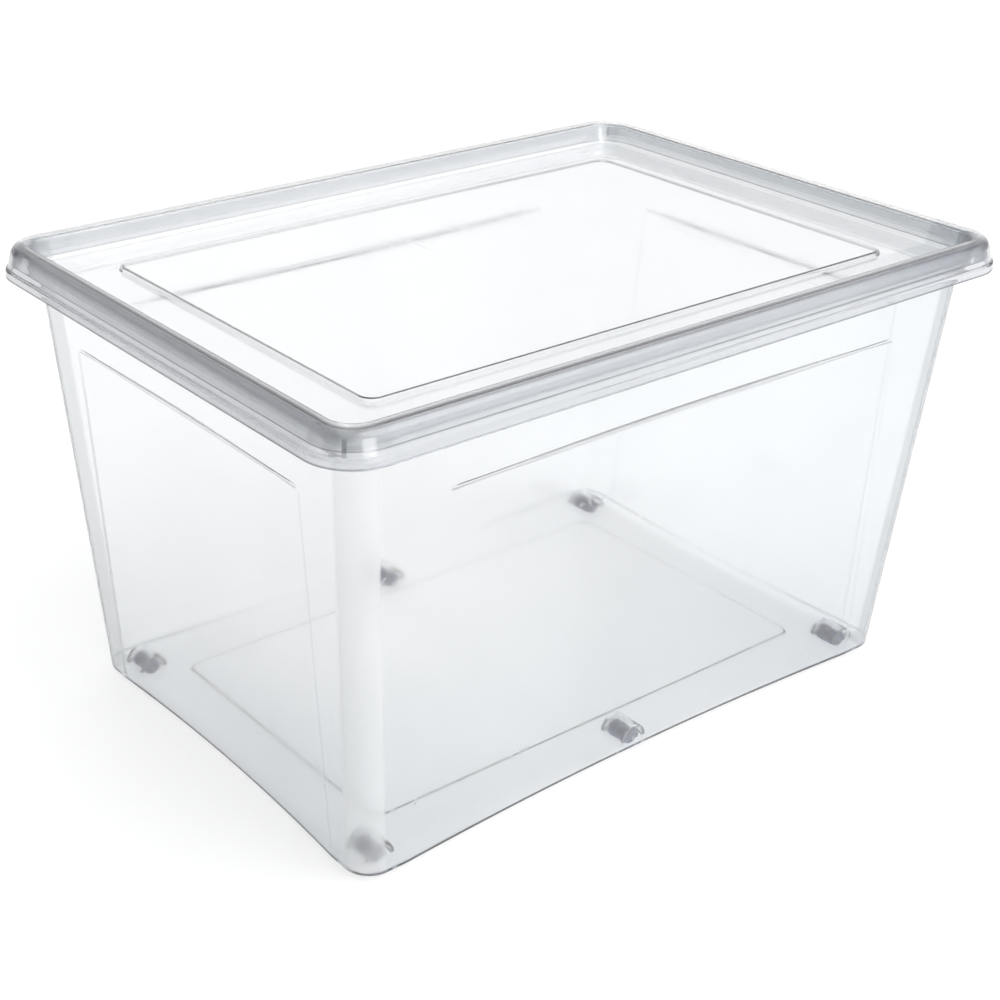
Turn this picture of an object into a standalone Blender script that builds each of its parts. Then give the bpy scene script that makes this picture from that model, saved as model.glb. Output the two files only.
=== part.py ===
"""Stackable clear storage bin on six rollers, with a lift-off lid that nests over the rolled rim.

Metres, +Z up, length along X, width along Y, standing on the ground at z = 0.
"""

import math

import bmesh
import bpy
from mathutils import Matrix, Vector

MM = 0.001

# Overall layout
BASE_LIFT = 5.0
WALL = 2.0
ARC_STEPS = 8

# Lid and rim share one centreline, the crest of the lid's ridge
CREST_HALF_X = 272.0
CREST_HALF_Y = 192.0
CREST_RADIUS = 20.0

# Tapered walls, half sizes of the outer face and their height
BASE_HALF_X = 244.2
BASE_HALF_Y = 165.9
WALL_TOP_HALF_X = 263.4
WALL_TOP_HALF_Y = 185.1
WALL_TOP_Z = 297.0
CORNER_RADIUS = 19.0
FOOT_FILLET = 1.6
INSIDE_FILLET = 0.8
FILLET_BREAK = 0.3

# Panels pressed into the four walls: inward bow and half length, at the base and under the ledge
PANEL_LEDGE_Z = 265.0
LEDGE_DROP = 1.0
LONG_BOW_BASE = 7.5
LONG_BOW_TOP = 5.7
SHORT_BOW_BASE = 5.0
SHORT_BOW_TOP = 3.0
LONG_PANEL_BASE = 209.0
LONG_PANEL_TOP = 194.0
SHORT_PANEL_BASE = 132.0
SHORT_PANEL_TOP = 130.0
LONG_STEPS = 12
SHORT_STEPS = 8

# Floor
STEP_HALF_X = 199.6
STEP_HALF_Y = 118.4
STEP_RADIUS = 11.0
STEP_RISE = 1.6
STEP_RUN = 1.0

# Lid: (offset out from the crest line, height) of the top skin, outer lip first
LID_TOP = (
    (13.0, 305.0),
    (12.8, 309.6),
    (12.2, 310.6),
    (11.0, 311.2),
    (9.2, 319.0),
    (8.6, 321.4),
    (7.3, 323.6),
    (5.2, 325.3),
    (2.6, 326.3),
    (0.0, 326.5),
    (-2.4, 326.0),
    (-4.0, 324.8),
    (-4.8, 322.9),
    (-8.6, 311.6),
    (-9.8, 310.5),
)
# Lid: the same for its underside
LID_UNDER = (
    (11.2, 305.0),
    (10.9, 309.4),
    (9.2, 310.9),
    (7.4, 318.8),
    (6.85, 320.9),
    (5.8, 322.5),
    (4.4, 323.7),
    (2.2, 324.5),
    (0.0, 324.7),
    (-1.6, 324.35),
    (-2.4, 323.6),
    (-3.0, 322.3),
    (-6.9, 310.6),
    (-8.4, 308.7),
)
LID_SKIN = 1.8
PANEL_HALF_X = 221.5
PANEL_HALF_Y = 143.5
PANEL_RADIUS = 10.0
PANEL_RISE = 3.2
PANEL_RUN = 1.5

# Rolled rim of the bin, offset out from the crest line and height: up the wall's outside, under the roll
RIM_UNDER = (
    (-5.9, 303.5),
    (-4.6, 306.5),
    (-0.9, 319.6),
    (-0.4, 321.4),
    (0.6, 322.3),
    (2.0, 322.2),
    (3.2, 321.4),
    (4.1, 320.2),
    (4.8, 318.4),
    (6.0, 313.5),
)
# Rolled rim: up its outer face, over the top and down the wall's inside
RIM_OVER = (
    (7.8, 313.5),
    (6.6, 318.7),
    (6.0, 320.6),
    (5.0, 322.0),
    (3.7, 323.2),
    (2.0, 324.0),
    (0.2, 324.3),
    (-1.2, 323.6),
    (-2.0, 322.2),
    (-2.6, 320.0),
    (-6.4, 307.0),
    (-7.6, 304.5),
)

# Rollers, their axle pins and the wells over them
ROLLER_X = 220.0
ROLLER_Y = 140.0
ROLLER_RADIUS = 6.2
ROLLER_HALF = 8.5
GROOVE_HALF = 1.4
GROOVE_DEPTH = 1.3
EDGE_CHAMFER = 0.5
HUB_RADIUS = 3.4
HUB_SINK = 0.9
BORE_RADIUS = 1.5
PIN_RADIUS = 1.2
PIN_HALF = 10.7
PIN_CHAMFER = 0.3
ROLLER_STEPS = 20
PIN_STEPS = 16
ROLLERS_IN_ROW = 3
WELL_RADIUS = 9.0
WELL_HALF = 9.0
DOME_RADIUS = 11.0
DOME_HALF = 11.5
SEAT_HALF = 11.0
DOME_STEPS = 14
AXLE_Z = ROLLER_RADIUS
CUTTER_OVERRUN = 4.0
DOME_ROOT = 1.0

# Small upright under the lid's lip at the middle of each corner
RIB_WIDTH = 2.4
RIB_PROUD = 0.45
RIB_ROOT = 0.9
RIB_LOW_Z = 311.6
RIB_HIGH_Z = 321.0

# Modelling
WELD = 1e-5
SIDE_GAP = 1.0
MOULDING_SHARP = 30
PIN_SHARP = 60


def clear_scene():
    for obj in list(bpy.data.objects):
        bpy.data.objects.remove(obj, do_unlink=True)


def new_collection(name):
    collection = bpy.data.collections.new(name)
    bpy.context.scene.collection.children.link(collection)
    return collection


def plastic(name, colour, roughness, metallic=0.0, alpha=1.0):
    material = bpy.data.materials.new(name)
    material.use_nodes = True
    shader = material.node_tree.nodes["Principled BSDF"]
    shader.inputs["Base Color"].default_value = (*colour, 1.0)
    shader.inputs["Roughness"].default_value = roughness
    shader.inputs["Metallic"].default_value = metallic
    shader.inputs["Alpha"].default_value = alpha
    return material


def corner_arcs(half_x, half_y, radius):
    """The four corner arcs of a rounded rectangle, anticlockwise from the +X +Y corner."""
    arcs = []
    for turn, (side_x, side_y) in enumerate(((1, 1), (-1, 1), (-1, -1), (1, -1))):
        centre = Vector((side_x * (half_x - radius), side_y * (half_y - radius)))
        arc = []
        for step in range(ARC_STEPS + 1):
            angle = math.pi / 2 * (turn + step / ARC_STEPS)
            arc.append(centre + radius * Vector((math.cos(angle), math.sin(angle))))
        arcs.append(arc)
    return arcs


def side_points(half_length, across, bow, steps):
    """Points along one wall from +half_length to -half_length, bowed inward between its panel edges."""
    points = []
    for step in range(steps + 1):
        share = 1.0 - 2.0 * step / steps
        points.append((half_length * share, across - bow * (1.0 - share * share)))
    return points


def bin_ring(half_x, half_y, radius, z, inset=0.0, bow_share=1.0, panel_z=None):
    """One closed level line of the bin, with the four bowed panels at bow_share of their depth."""
    level = z if panel_z is None else panel_z
    rise = min(max(level / PANEL_LEDGE_Z, 0.0), 1.0)
    long_half = LONG_PANEL_BASE + (LONG_PANEL_TOP - LONG_PANEL_BASE) * rise - inset
    short_half = SHORT_PANEL_BASE + (SHORT_PANEL_TOP - SHORT_PANEL_BASE) * rise - inset
    long_bow = bow_share * (LONG_BOW_BASE + (LONG_BOW_TOP - LONG_BOW_BASE) * rise)
    short_bow = bow_share * (SHORT_BOW_BASE + (SHORT_BOW_TOP - SHORT_BOW_BASE) * rise)
    arcs = corner_arcs(half_x, half_y, radius)
    back = side_points(long_half, half_y, long_bow, LONG_STEPS)
    left = [(-x, y) for y, x in side_points(short_half, half_x, short_bow, SHORT_STEPS)]
    front = [(-x, -y) for x, y in back]
    right = [(-x, -y) for x, y in left]
    ring = []
    for arc, side in zip(arcs, (back, left, front, right)):
        ring.extend(tuple(point) for point in arc)
        ring.extend(side)
    return [(x * MM, y * MM, (z + BASE_LIFT) * MM) for x, y in ring]


def wall_half(z):
    """Half sizes of the walls' outer face at height z above the base."""
    share = z / WALL_TOP_Z
    half_x = BASE_HALF_X + (WALL_TOP_HALF_X - BASE_HALF_X) * share
    half_y = BASE_HALF_Y + (WALL_TOP_HALF_Y - BASE_HALF_Y) * share
    return half_x, half_y


def wall_ring(z, inset=0.0, bow_share=1.0, level=None):
    """A ring of the wall's skin, inset from the outer face as it is at height level."""
    half_x, half_y = wall_half(z if level is None else level)
    radius = max(CORNER_RADIUS - inset, 1.0)
    return bin_ring(half_x - inset, half_y - inset, radius, z, inset, bow_share, level)


def step_ring(inset, z):
    """A ring round the raised middle of the floor."""
    half_x = STEP_HALF_X - inset
    half_y = STEP_HALF_Y - inset
    arcs = corner_arcs(half_x, half_y, STEP_RADIUS - inset)
    back = [(x, half_y) for x, _ in side_points(half_x - STEP_RADIUS - SIDE_GAP, 0, 0, LONG_STEPS)]
    left = [(-half_x, y) for y, _ in side_points(half_y - STEP_RADIUS - SIDE_GAP, 0, 0, SHORT_STEPS)]
    front = [(-x, -y) for x, y in back]
    right = [(-x, -y) for x, y in left]
    ring = []
    for arc, side in zip(arcs, (back, left, front, right)):
        ring.extend(tuple(point) for point in arc)
        ring.extend(side)
    return [(x * MM, y * MM, (z + BASE_LIFT) * MM) for x, y in ring]


def rim_ring(offset, z):
    """A ring of the rolled rim, offset from the crest line, with no panels."""
    half_x = CREST_HALF_X + offset
    half_y = CREST_HALF_Y + offset
    return bin_ring(half_x, half_y, CREST_RADIUS + offset, z, bow_share=0.0)


def lid_ring(half_x, half_y, radius, z):
    ring = []
    for arc in corner_arcs(half_x, half_y, radius):
        ring.extend((x * MM, y * MM, (z + BASE_LIFT) * MM) for x, y in arc)
    return ring


def crest_ring(offset, z):
    return lid_ring(CREST_HALF_X + offset, CREST_HALF_Y + offset, CREST_RADIUS + offset, z)


def panel_ring(outset, z):
    return lid_ring(PANEL_HALF_X + outset, PANEL_HALF_Y + outset, PANEL_RADIUS + outset, z)


def loft(name, rings, collection, material):
    """A closed skin through rings of equal count, capped across its first and last ring."""
    mesh_bm = bmesh.new()
    loops = [[mesh_bm.verts.new(point) for point in ring] for ring in rings]
    count = len(loops[0])
    for lower, upper in zip(loops, loops[1:]):
        for index in range(count):
            after = (index + 1) % count
            mesh_bm.faces.new((lower[index], lower[after], upper[after], upper[index]))
    mesh_bm.faces.new(tuple(reversed(loops[0])))
    mesh_bm.faces.new(tuple(loops[-1]))
    bmesh.ops.recalc_face_normals(mesh_bm, faces=mesh_bm.faces)
    return finish_object(name, mesh_bm, collection, material)


def finish_object(name, mesh_bm, collection, material=None):
    mesh = bpy.data.meshes.new(name)
    mesh_bm.to_mesh(mesh)
    mesh_bm.free()
    obj = bpy.data.objects.new(name, mesh)
    collection.objects.link(obj)
    if material is not None:
        mesh.materials.append(material)
    return obj


def arch_outline(radius, low_z):
    """Outline in X and Z of a round-topped arch over the first roller."""
    outline = [(radius - ROLLER_X, low_z)]
    for step in range(DOME_STEPS + 1):
        angle = math.pi * step / DOME_STEPS
        outline.append((radius * math.cos(angle) - ROLLER_X, AXLE_Z + radius * math.sin(angle)))
    outline.append((-radius - ROLLER_X, low_z))
    return outline


def outline_block(outline, half_length):
    """The mesh of a block along Y, drawn as a filled flat curve of an outline in X and Z."""
    curve = bpy.data.curves.new("outline", "CURVE")
    curve.dimensions = "2D"
    curve.fill_mode = "BOTH"
    curve.extrude = half_length * MM
    spline = curve.splines.new("POLY")
    spline.points.add(len(outline) - 1)
    for point, (x, z) in zip(spline.points, outline):
        point.co = (x * MM, z * MM, 0.0, 1.0)
    spline.use_cyclic_u = True
    drawn = bpy.data.objects.new("outline", curve)
    bpy.context.scene.collection.objects.link(drawn)
    depsgraph = bpy.context.evaluated_depsgraph_get()
    mesh = bpy.data.meshes.new_from_object(drawn.evaluated_get(depsgraph))
    bpy.data.objects.remove(drawn, do_unlink=True)
    block = bmesh.new()
    block.from_mesh(mesh)
    bmesh.ops.remove_doubles(block, verts=block.verts, dist=WELD)
    stood_up = Matrix.Rotation(math.pi / 2, 4, "X")
    in_row = Matrix.Translation((0.0, -ROLLER_Y * MM, 0.0))
    bmesh.ops.transform(block, matrix=in_row @ stood_up, verts=block.verts)
    bmesh.ops.recalc_face_normals(block, faces=block.faces)
    return block


def pin_seat_block():
    """The mesh of the bore for the first roller's axle pin."""
    block = bmesh.new()
    along_y = Matrix.Rotation(math.pi / 2, 4, "X")
    at_axle = Matrix.Translation(Vector((-ROLLER_X, -ROLLER_Y, AXLE_Z)) * MM)
    bmesh.ops.create_cone(
        block,
        cap_ends=True,
        segments=PIN_STEPS,
        radius1=BORE_RADIUS * MM,
        radius2=BORE_RADIUS * MM,
        depth=2 * SEAT_HALF * MM,
        matrix=at_axle @ along_y,
    )
    return block


def helper(name, mesh_bm, collection):
    obj = finish_object(name, mesh_bm, collection)
    obj.hide_render = True
    obj.display_type = "WIRE"
    return obj


def repeated_at_rollers(obj):
    """Repeat what stands at the first roller along the row and into the second row."""
    array = obj.modifiers.new("along_row", "ARRAY")
    array.count = ROLLERS_IN_ROW
    array.use_relative_offset = False
    array.use_constant_offset = True
    array.constant_offset_displace = (ROLLER_X * MM, 0.0, 0.0)
    mirror = obj.modifiers.new("second_row", "MIRROR")
    mirror.use_axis = (False, True, False)
    return obj


def corner_rib_block():
    """The mesh of one rib under the lip, leaning with the skin, at the +X +Y corner."""
    low_offset, low_z = LID_UNDER[2]
    high_offset, high_z = LID_UNDER[3]
    slope = (low_offset - high_offset) / (high_z - low_z)
    lean = math.atan(slope)
    middle_z = (RIB_LOW_Z + RIB_HIGH_Z) / 2
    offset = low_offset - slope * (middle_z - low_z)
    size = Vector((RIB_PROUD + RIB_ROOT, RIB_WIDTH, (RIB_HIGH_Z - RIB_LOW_Z) / math.cos(lean)))
    radial = CREST_RADIUS + offset + (RIB_ROOT - RIB_PROUD) / 2
    corner = Vector((CREST_HALF_X - CREST_RADIUS, CREST_HALF_Y - CREST_RADIUS, middle_z + BASE_LIFT))
    placed = (
        Matrix.Translation(corner * MM)
        @ Matrix.Rotation(math.pi / 4, 4, "Z")
        @ Matrix.Translation((radial * MM, 0, 0))
        @ Matrix.Rotation(-lean, 4, "Y")
        @ Matrix.Diagonal((size * MM).to_4d())
    )
    block = bmesh.new()
    bmesh.ops.create_cube(block, size=1.0, matrix=placed)
    return block


def add_boolean(obj, other, operation, name):
    modifier = obj.modifiers.new(name, "BOOLEAN")
    modifier.object = other
    modifier.operation = operation
    modifier.solver = "EXACT"


def smooth_by_angle(obj, angle_deg):
    """Shade smooth, with edges sharper than angle_deg kept crisp."""
    mesh = obj.data
    mesh.shade_smooth()
    mesh_bm = bmesh.new()
    mesh_bm.from_mesh(mesh)
    for edge in mesh_bm.edges:
        edge.smooth = edge.calc_face_angle(0.0) < math.radians(angle_deg)
    mesh_bm.to_mesh(mesh)
    mesh_bm.free()


def roller_profile():
    """Spool outline: two discs either side of a groove, sunk hub faces and a bore."""
    rim = ROLLER_RADIUS - EDGE_CHAMFER
    shoulder = ROLLER_HALF - EDGE_CHAMFER
    half = [
        (BORE_RADIUS, ROLLER_HALF),
        (HUB_RADIUS - HUB_SINK, ROLLER_HALF),
        (HUB_RADIUS, ROLLER_HALF - HUB_SINK),
        (rim - EDGE_CHAMFER, ROLLER_HALF - HUB_SINK),
        (rim, ROLLER_HALF - EDGE_CHAMFER + 0.1),
        (ROLLER_RADIUS, shoulder - EDGE_CHAMFER),
        (ROLLER_RADIUS, GROOVE_HALF + EDGE_CHAMFER),
        (ROLLER_RADIUS - GROOVE_DEPTH, GROOVE_HALF),
    ]
    return half + [(radius, -along) for radius, along in reversed(half)]


def stand_on_axle(obj, place):
    """Turn a piece made about Z so that it lies along Y, centred on a roller's axle."""
    obj.rotation_euler = (math.pi / 2, 0.0, 0.0)
    obj.location = Vector((place[0], place[1], AXLE_Z)) * MM


def build_roller(name, collection, material, place):
    outline = bmesh.new()
    points = [outline.verts.new((radius * MM, 0.0, along * MM)) for radius, along in roller_profile()]
    for point, following in zip(points, points[1:] + points[:1]):
        outline.edges.new((point, following))
    roller = finish_object(name, outline, collection, material)
    screw = roller.modifiers.new("turned", "SCREW")
    screw.axis = "Z"
    screw.angle = 2 * math.pi
    screw.steps = ROLLER_STEPS
    screw.render_steps = ROLLER_STEPS
    screw.use_merge_vertices = True
    screw.merge_threshold = WELD
    screw.use_smooth_shade = True
    stand_on_axle(roller, place)


def build_pin(name, collection, material, place):
    rod = bmesh.new()
    bmesh.ops.create_cone(
        rod,
        cap_ends=True,
        segments=PIN_STEPS,
        radius1=PIN_RADIUS * MM,
        radius2=PIN_RADIUS * MM,
        depth=2 * PIN_HALF * MM,
    )
    pin = finish_object(name, rod, collection, material)
    chamfer = pin.modifiers.new("chamfer", "BEVEL")
    chamfer.width = PIN_CHAMFER * MM
    chamfer.segments = 1
    chamfer.limit_method = "ANGLE"
    chamfer.angle_limit = math.radians(PIN_SHARP)
    smooth_by_angle(pin, PIN_SHARP)
    stand_on_axle(pin, place)


def build_bin(collection, helpers, material):
    foot_break = FILLET_BREAK * FOOT_FILLET
    outer = [
        step_ring(WALL, STEP_RISE),
        step_ring(WALL - STEP_RUN, 0.0),
        wall_ring(0.0, inset=FOOT_FILLET, level=0.0),
        wall_ring(foot_break, inset=foot_break, level=0.0),
        wall_ring(FOOT_FILLET),
        wall_ring(PANEL_LEDGE_Z / 2),
        wall_ring(PANEL_LEDGE_Z - LEDGE_DROP),
        wall_ring(PANEL_LEDGE_Z, bow_share=0.0),
        wall_ring(WALL_TOP_Z, bow_share=0.0),
    ]
    outer.extend(rim_ring(offset, z) for offset, z in RIM_UNDER)
    inside_break = FILLET_BREAK * INSIDE_FILLET
    inner = [rim_ring(offset, z) for offset, z in RIM_OVER]
    inner.extend(
        [
            wall_ring(WALL_TOP_Z, inset=WALL, bow_share=0.0),
            wall_ring(PANEL_LEDGE_Z + WALL, inset=WALL, bow_share=0.0),
            wall_ring(PANEL_LEDGE_Z + WALL - LEDGE_DROP, inset=WALL),
            wall_ring(PANEL_LEDGE_Z / 2, inset=WALL),
            wall_ring(WALL + INSIDE_FILLET, inset=WALL),
            wall_ring(WALL + inside_break, inset=WALL + inside_break, level=WALL),
            wall_ring(WALL, inset=WALL + INSIDE_FILLET, level=WALL),
            step_ring(0.0, WALL),
            step_ring(STEP_RUN, WALL + STEP_RISE),
        ]
    )
    body = loft("bin_body", outer + inner, collection, material)
    smooth_by_angle(body, MOULDING_SHARP)
    dome = outline_block(arch_outline(DOME_RADIUS, BASE_LIFT + DOME_ROOT), DOME_HALF)
    well = outline_block(arch_outline(WELL_RADIUS, -CUTTER_OVERRUN), WELL_HALF)
    domes = repeated_at_rollers(helper("well_domes", dome, helpers))
    wells = repeated_at_rollers(helper("well_hollows", well, helpers))
    seats = repeated_at_rollers(helper("pin_seats", pin_seat_block(), helpers))
    add_boolean(body, domes, "UNION", "domes")
    add_boolean(body, wells, "DIFFERENCE", "wells")
    add_boolean(body, seats, "DIFFERENCE", "seats")


def build_lid(collection, helpers, material):
    under = [
        panel_ring(-LID_SKIN, LID_UNDER[-1][1] + PANEL_RISE),
        panel_ring(PANEL_RUN - LID_SKIN, LID_UNDER[-1][1]),
    ]
    under.extend(crest_ring(offset, z) for offset, z in reversed(LID_UNDER))
    top = [crest_ring(offset, z) for offset, z in LID_TOP]
    top.append(panel_ring(PANEL_RUN, LID_TOP[-1][1]))
    top.append(panel_ring(0.0, LID_TOP[-1][1] + PANEL_RISE))
    lid = loft("lid", under + top, collection, material)
    smooth_by_angle(lid, MOULDING_SHARP)
    ribs = helper("corner_ribs", corner_rib_block(), helpers)
    mirror = ribs.modifiers.new("other_corners", "MIRROR")
    mirror.use_axis = (True, True, False)
    add_boolean(lid, ribs, "UNION", "ribs")


def roller_places():
    places = {}
    for row, y in (("front", -ROLLER_Y), ("back", ROLLER_Y)):
        for column, x in (("left", -ROLLER_X), ("middle", 0.0), ("right", ROLLER_X)):
            places[f"{row}_{column}"] = (x, y)
    return places


def main():
    clear_scene()
    parts = new_collection("storage_bin")
    helpers = new_collection("helpers")
    helpers.hide_render = True
    clear_plastic = plastic("clear_polypropylene", (0.86, 0.9, 0.93), 0.12, alpha=0.35)
    lid_plastic = plastic("clear_lid_polypropylene", (0.86, 0.9, 0.93), 0.1, alpha=0.35)
    roller_plastic = plastic("roller_plastic", (0.05, 0.05, 0.09), 0.4)
    pin_metal = plastic("pin_steel", (0.6, 0.6, 0.62), 0.3, metallic=1.0)
    build_bin(parts, helpers, clear_plastic)
    build_lid(parts, helpers, lid_plastic)
    for label, place in roller_places().items():
        build_roller(f"roller_{label}", parts, roller_plastic, place)
        build_pin(f"axle_pin_{label}", parts, pin_metal, place)


main()
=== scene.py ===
"""Clear stackable storage bin on six rollers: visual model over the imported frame."""

import math

import bmesh
import bpy
import numpy as np
from mathutils import Matrix, Vector


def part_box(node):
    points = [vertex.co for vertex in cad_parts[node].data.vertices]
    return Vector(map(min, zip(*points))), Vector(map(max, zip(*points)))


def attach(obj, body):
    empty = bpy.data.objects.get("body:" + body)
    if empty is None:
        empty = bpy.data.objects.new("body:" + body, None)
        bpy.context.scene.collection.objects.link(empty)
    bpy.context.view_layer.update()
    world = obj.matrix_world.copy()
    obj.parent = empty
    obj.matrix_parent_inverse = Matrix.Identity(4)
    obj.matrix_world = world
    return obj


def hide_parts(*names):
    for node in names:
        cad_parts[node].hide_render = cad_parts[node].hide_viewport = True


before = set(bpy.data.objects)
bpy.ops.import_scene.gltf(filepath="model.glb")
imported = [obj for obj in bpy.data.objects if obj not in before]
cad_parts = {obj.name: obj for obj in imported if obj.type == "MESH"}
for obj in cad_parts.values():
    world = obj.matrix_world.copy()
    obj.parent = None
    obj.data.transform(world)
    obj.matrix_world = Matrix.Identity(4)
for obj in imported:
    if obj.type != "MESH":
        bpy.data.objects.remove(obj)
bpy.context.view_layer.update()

MM = 0.001

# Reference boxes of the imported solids, in millimetres
lid_low, lid_high = (np.array(corner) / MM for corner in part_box("lid"))
bin_low = np.array(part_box("bin_body")[0]) / MM

# The bin's base over the ground: the heights below count from the base
LIFT = float(bin_low[2])

# The crest line is the level middle line of the rim's roll and of the lid's ridge
LIP_OFFSET = 13.0
CREST_X = float(lid_high[0] - lid_low[0]) / 2 - LIP_OFFSET
CREST_Y = float(lid_high[1] - lid_low[1]) / 2 - LIP_OFFSET
CREST_R = 20.0

# ---------------------------------------------------------------- camera

CAMERA_AT = Vector((-0.7586, -0.8854, 0.7109 + LIFT * MM))
AZIMUTH = math.radians(38.265)
ELEVATION = math.radians(26.676)
ROLL = math.radians(0.706)
FOCAL_PX = 1787.4
SHIFT = (0.0655, 0.0014)


def make_camera():
    data = bpy.data.cameras.new("camera")
    data.sensor_width = 36.0
    data.lens = FOCAL_PX / 1000 * data.sensor_width
    data.shift_x, data.shift_y = SHIFT
    data.clip_start = 0.05
    data.clip_end = 60.0
    forward = Vector(
        (
            math.sin(AZIMUTH) * math.cos(ELEVATION),
            math.cos(AZIMUTH) * math.cos(ELEVATION),
            -math.sin(ELEVATION),
        )
    )
    right = Vector((math.cos(AZIMUTH), -math.sin(AZIMUTH), 0.0))
    up = right.cross(forward)
    tilted_right = math.cos(ROLL) * right + math.sin(ROLL) * up
    tilted_up = -math.sin(ROLL) * right + math.cos(ROLL) * up
    rotation = Matrix((tilted_right, tilted_up, -forward)).transposed()
    camera = bpy.data.objects.new("camera", data)
    camera.matrix_world = Matrix.Translation(CAMERA_AT) @ rotation.to_4x4()
    bpy.context.scene.collection.objects.link(camera)
    bpy.context.scene.camera = camera


make_camera()

# ---------------------------------------------------------------- ring lofts
# A ring is a level rounded rectangle whose four sides may be bowed inward between panel edges.
# Its row is (half x, half y, corner radius, z, long panel half, long bow, short panel half, short bow).

# Steps along a corner, a long side and a short side
ARC = 20
LONG = 44
SHORT = 32
CORNERS = ((1, 1), (-1, 1), (-1, -1), (1, -1))


def side_shares(steps):
    """Parameters from 1 to -1, bunched towards the ends so that the panel edges stay crisp."""
    even = np.linspace(1.0, -1.0, steps + 1)
    return np.sign(even) * (1 - (1 - np.abs(even)) ** 1.25)


def ring_points(row):
    """The ring's points in metres, anticlockwise from the +X end of the first corner."""
    hx, hy, r, z, lh, lb, sh, sb = row
    points = []
    long_side = side_shares(LONG)
    short_side = side_shares(SHORT)
    sides = (
        [(lh * s, hy - lb * (1 - s * s)) for s in long_side],
        [(-(hx - sb * (1 - s * s)), sh * s) for s in short_side],
        [(-lh * s, -(hy - lb * (1 - s * s))) for s in long_side],
        [(hx - sb * (1 - s * s), -sh * s) for s in short_side],
    )
    for turn, (sx, sy) in enumerate(CORNERS):
        cx, cy = sx * (hx - r), sy * (hy - r)
        for step in range(ARC + 1):
            a = math.pi / 2 * (turn + step / ARC)
            points.append((cx + r * math.cos(a), cy + r * math.sin(a)))
        points.extend(sides[turn])
    return [(x * MM, y * MM, (z + LIFT) * MM) for x, y in points]


def rounded(rows, parts=3, tension=0.5):
    """Rows run through by a Catmull-Rom spline, parts steps to a span."""
    rows = [np.array(row, float) for row in rows]
    padded = [2 * rows[0] - rows[1], *rows, 2 * rows[-1] - rows[-2]]
    out = []
    for index in range(1, len(padded) - 2):
        before, start, end, after = padded[index - 1 : index + 3]
        m0 = tension * (end - before)
        m1 = tension * (after - start)
        for step in range(parts):
            t = step / parts
            out.append(
                (2 * t**3 - 3 * t**2 + 1) * start
                + (t**3 - 2 * t**2 + t) * m0
                + (-2 * t**3 + 3 * t**2) * end
                + (t**3 - t**2) * m1
            )
    out.append(rows[-1])
    return out


def loft(name, rows):
    """One closed skin through the rings of rows, capped at both ends."""
    mesh_bm = bmesh.new()
    loops = [[mesh_bm.verts.new(p) for p in ring_points(row)] for row in rows]
    count = len(loops[0])
    for lower, upper in zip(loops, loops[1:]):
        for i in range(count):
            j = (i + 1) % count
            mesh_bm.faces.new((lower[i], lower[j], upper[j], upper[i]))
    mesh_bm.faces.new(tuple(reversed(loops[0])))
    mesh_bm.faces.new(tuple(loops[-1]))
    bmesh.ops.recalc_face_normals(mesh_bm, faces=mesh_bm.faces)
    return new_object(name, mesh_bm)


def new_object(name, mesh_bm):
    mesh = bpy.data.meshes.new(name)
    mesh_bm.to_mesh(mesh)
    mesh_bm.free()
    obj = bpy.data.objects.new(name, mesh)
    bpy.context.scene.collection.objects.link(obj)
    return obj


def shade(obj, angle=28.0):
    """Smooth shading, with the edges steeper than angle kept sharp."""
    mesh = obj.data
    mesh.shade_smooth()
    mesh_bm = bmesh.new()
    mesh_bm.from_mesh(mesh)
    for edge in mesh_bm.edges:
        edge.smooth = edge.calc_face_angle(0.0) < math.radians(angle)
    mesh_bm.to_mesh(mesh)
    mesh_bm.free()


# ---------------------------------------------------------------- bin body

# Wall thickness, half sizes at the base and under the rim, corner radius, rounds at the foot
# outside and inside, and the height of the ledge where the pressed panels end
WALL = 2.0
BASE_X, BASE_Y = 244.2, 165.9
TOP_X, TOP_Y, TOP_Z = 263.4, 185.1, 297.0
WALL_R = 19.0
FOOT = 1.6
INSIDE_FOOT = 0.8
LEDGE_Z = 265.0

# Pressed panels: half length and inward bow at the foot, and how much less each is at the ledge
LONG_PANEL, LONG_PANEL_LESS, LONG_BOW, LONG_BOW_LESS = 209.0, 15.0, 7.5, 1.8
SHORT_PANEL, SHORT_PANEL_LESS, SHORT_BOW, SHORT_BOW_LESS = 132.0, 2.0, 5.0, 2.0
CREST_PANEL_LONG, CREST_PANEL_SHORT = 194.0, 130.0


def panel_share(z):
    """How far up the pressed panels z is, from 0 at the foot to 1 at the ledge."""
    return min(max(z / LEDGE_Z, 0.0), 1.0)


def wall_row(z, inset=0.0, bow=1.0, level=None):
    """A ring of the tapered wall at height z, its size taken from level where that is given."""
    at = z if level is None else level
    rise = at / TOP_Z
    up = panel_share(at)
    return (
        BASE_X + (TOP_X - BASE_X) * rise - inset,
        BASE_Y + (TOP_Y - BASE_Y) * rise - inset,
        WALL_R - inset,
        z,
        LONG_PANEL - LONG_PANEL_LESS * up - inset,
        bow * (LONG_BOW - LONG_BOW_LESS * up),
        SHORT_PANEL - SHORT_PANEL_LESS * up - inset,
        bow * (SHORT_BOW - SHORT_BOW_LESS * up),
    )


def crest_row(offset, z):
    """A ring of the bin's rolled rim, offset outward from the crest line."""
    size = (CREST_X + offset, CREST_Y + offset, CREST_R + offset)
    return (*size, z, CREST_PANEL_LONG, 0.0, CREST_PANEL_SHORT, 0.0)


def plain_row(hx, hy, r, z):
    """A ring with straight sides."""
    return (hx, hy, r, z, hx - r - 1.0, 0.0, hy - r - 1.0, 0.0)


def quarter(radius, steps=5):
    """(inset, z) pairs of a quarter round from a level face out to an upright one."""
    return [
        (radius * (1 - math.sin(a)), radius * (1 - math.cos(a)))
        for a in np.linspace(0.0, math.pi / 2, steps + 1)
    ]


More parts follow.
